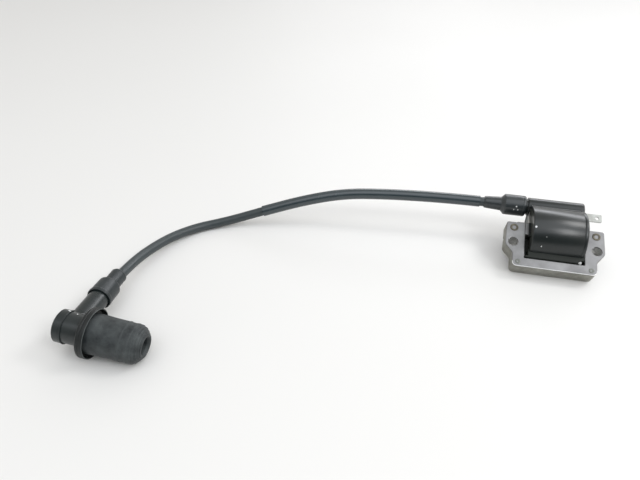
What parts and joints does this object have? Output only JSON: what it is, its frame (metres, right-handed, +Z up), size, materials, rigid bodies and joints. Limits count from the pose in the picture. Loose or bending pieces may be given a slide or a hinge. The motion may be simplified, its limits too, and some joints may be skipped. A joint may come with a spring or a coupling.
{
  "type": "ignition coil",
  "caption": "Ignition coil for a small engine: round body on a riveted laminated core, rubber-sheathed high-tension lead and a right-angle spark plug cap.",
  "frame": {"origin": "centre of the coil's footprint (lead and plug cap left out), on the level surface it lies on", "axes": "+X along the winding axis towards the primary spade terminal, +Y level towards the high-tension tower, +Z up"},
  "size_m": [0.337, 0.1981, 0.04],
  "materials": {
    "lamination_steel": "satin, stacked sheet edges on its sides, thin protective film",
    "bronze_rivet": "dull bronze tubular rivet",
    "steel_rivet": "dull zinc-plated steel",
    "case_plastic": "semi-gloss black moulding",
    "bobbin_plastic": "black nylon",
    "enamelled_copper": "varnished copper wire",
    "fine_copper_wire": "fine varnished copper wire",
    "potting_resin": "cast epoxy, slightly rippled",
    "tinned_brass": "bright tin plating",
    "plated_strip": "tin-plated strip, tarnished",
    "brass": "turned brass",
    "boot_rubber": "smooth moulded rubber",
    "cap_resin": "glossy compression-moulded phenolic",
    "cap_cover_plastic": "glossy phenolic",
    "seal_rubber": "smooth rubber with a dusty film",
    "plug_boot_rubber": "matt rubber, dusty",
    "ceramic": "unglazed ceramic",
    "spring_steel": "bare spring wire",
    "lead_jacket": "satin rubber cable jacket",
    "stranded_copper": "tinned strands",
    "sleeve_plastic": "satin PVC sleeving"
  },
  "bodies": {
    "coil": {"core_frame": "lamination_steel", "core_limb": "lamination_steel", "back_rivets": "bronze_rivet", "front_rivets": "steel_rivet", "coil_case": "case_plastic", "primary_bobbin": "bobbin_plastic", "primary_winding": "enamelled_copper", "secondary_bobbin": "bobbin_plastic", "secondary_winding": "fine_copper_wire", "potting": "potting_resin", "primary_terminal": "tinned_brass", "ground_strap": "plated_strip", "hv_contact": "brass", "hv_link_wire": "enamelled_copper", "tower_boot": "boot_rubber", "hv_lead": "lead_jacket", "lead_conductor": "stranded_copper", "lead_sleeve": "sleeve_plastic"},
    "plug_cap": {"cap_body": "cap_resin", "cap_end_cover": "cap_cover_plastic", "well_seal": "seal_rubber", "plug_boot": "plug_boot_rubber", "resistor": "ceramic", "resistor_spring": "spring_steel", "plug_terminal": "brass", "terminal_clip": "spring_steel", "lead_screw": "brass", "cable_boot": "boot_rubber"}
  },
  "joints": [
    {"name": "cap_swivel", "type": "hinge", "parent": "coil", "child": "plug_cap", "pos_m": [-0.2932, -0.1539, 0.01741], "axis": [0.0233, -0.9958, 0.0882], "range_deg": [0, 180]}
  ]
}
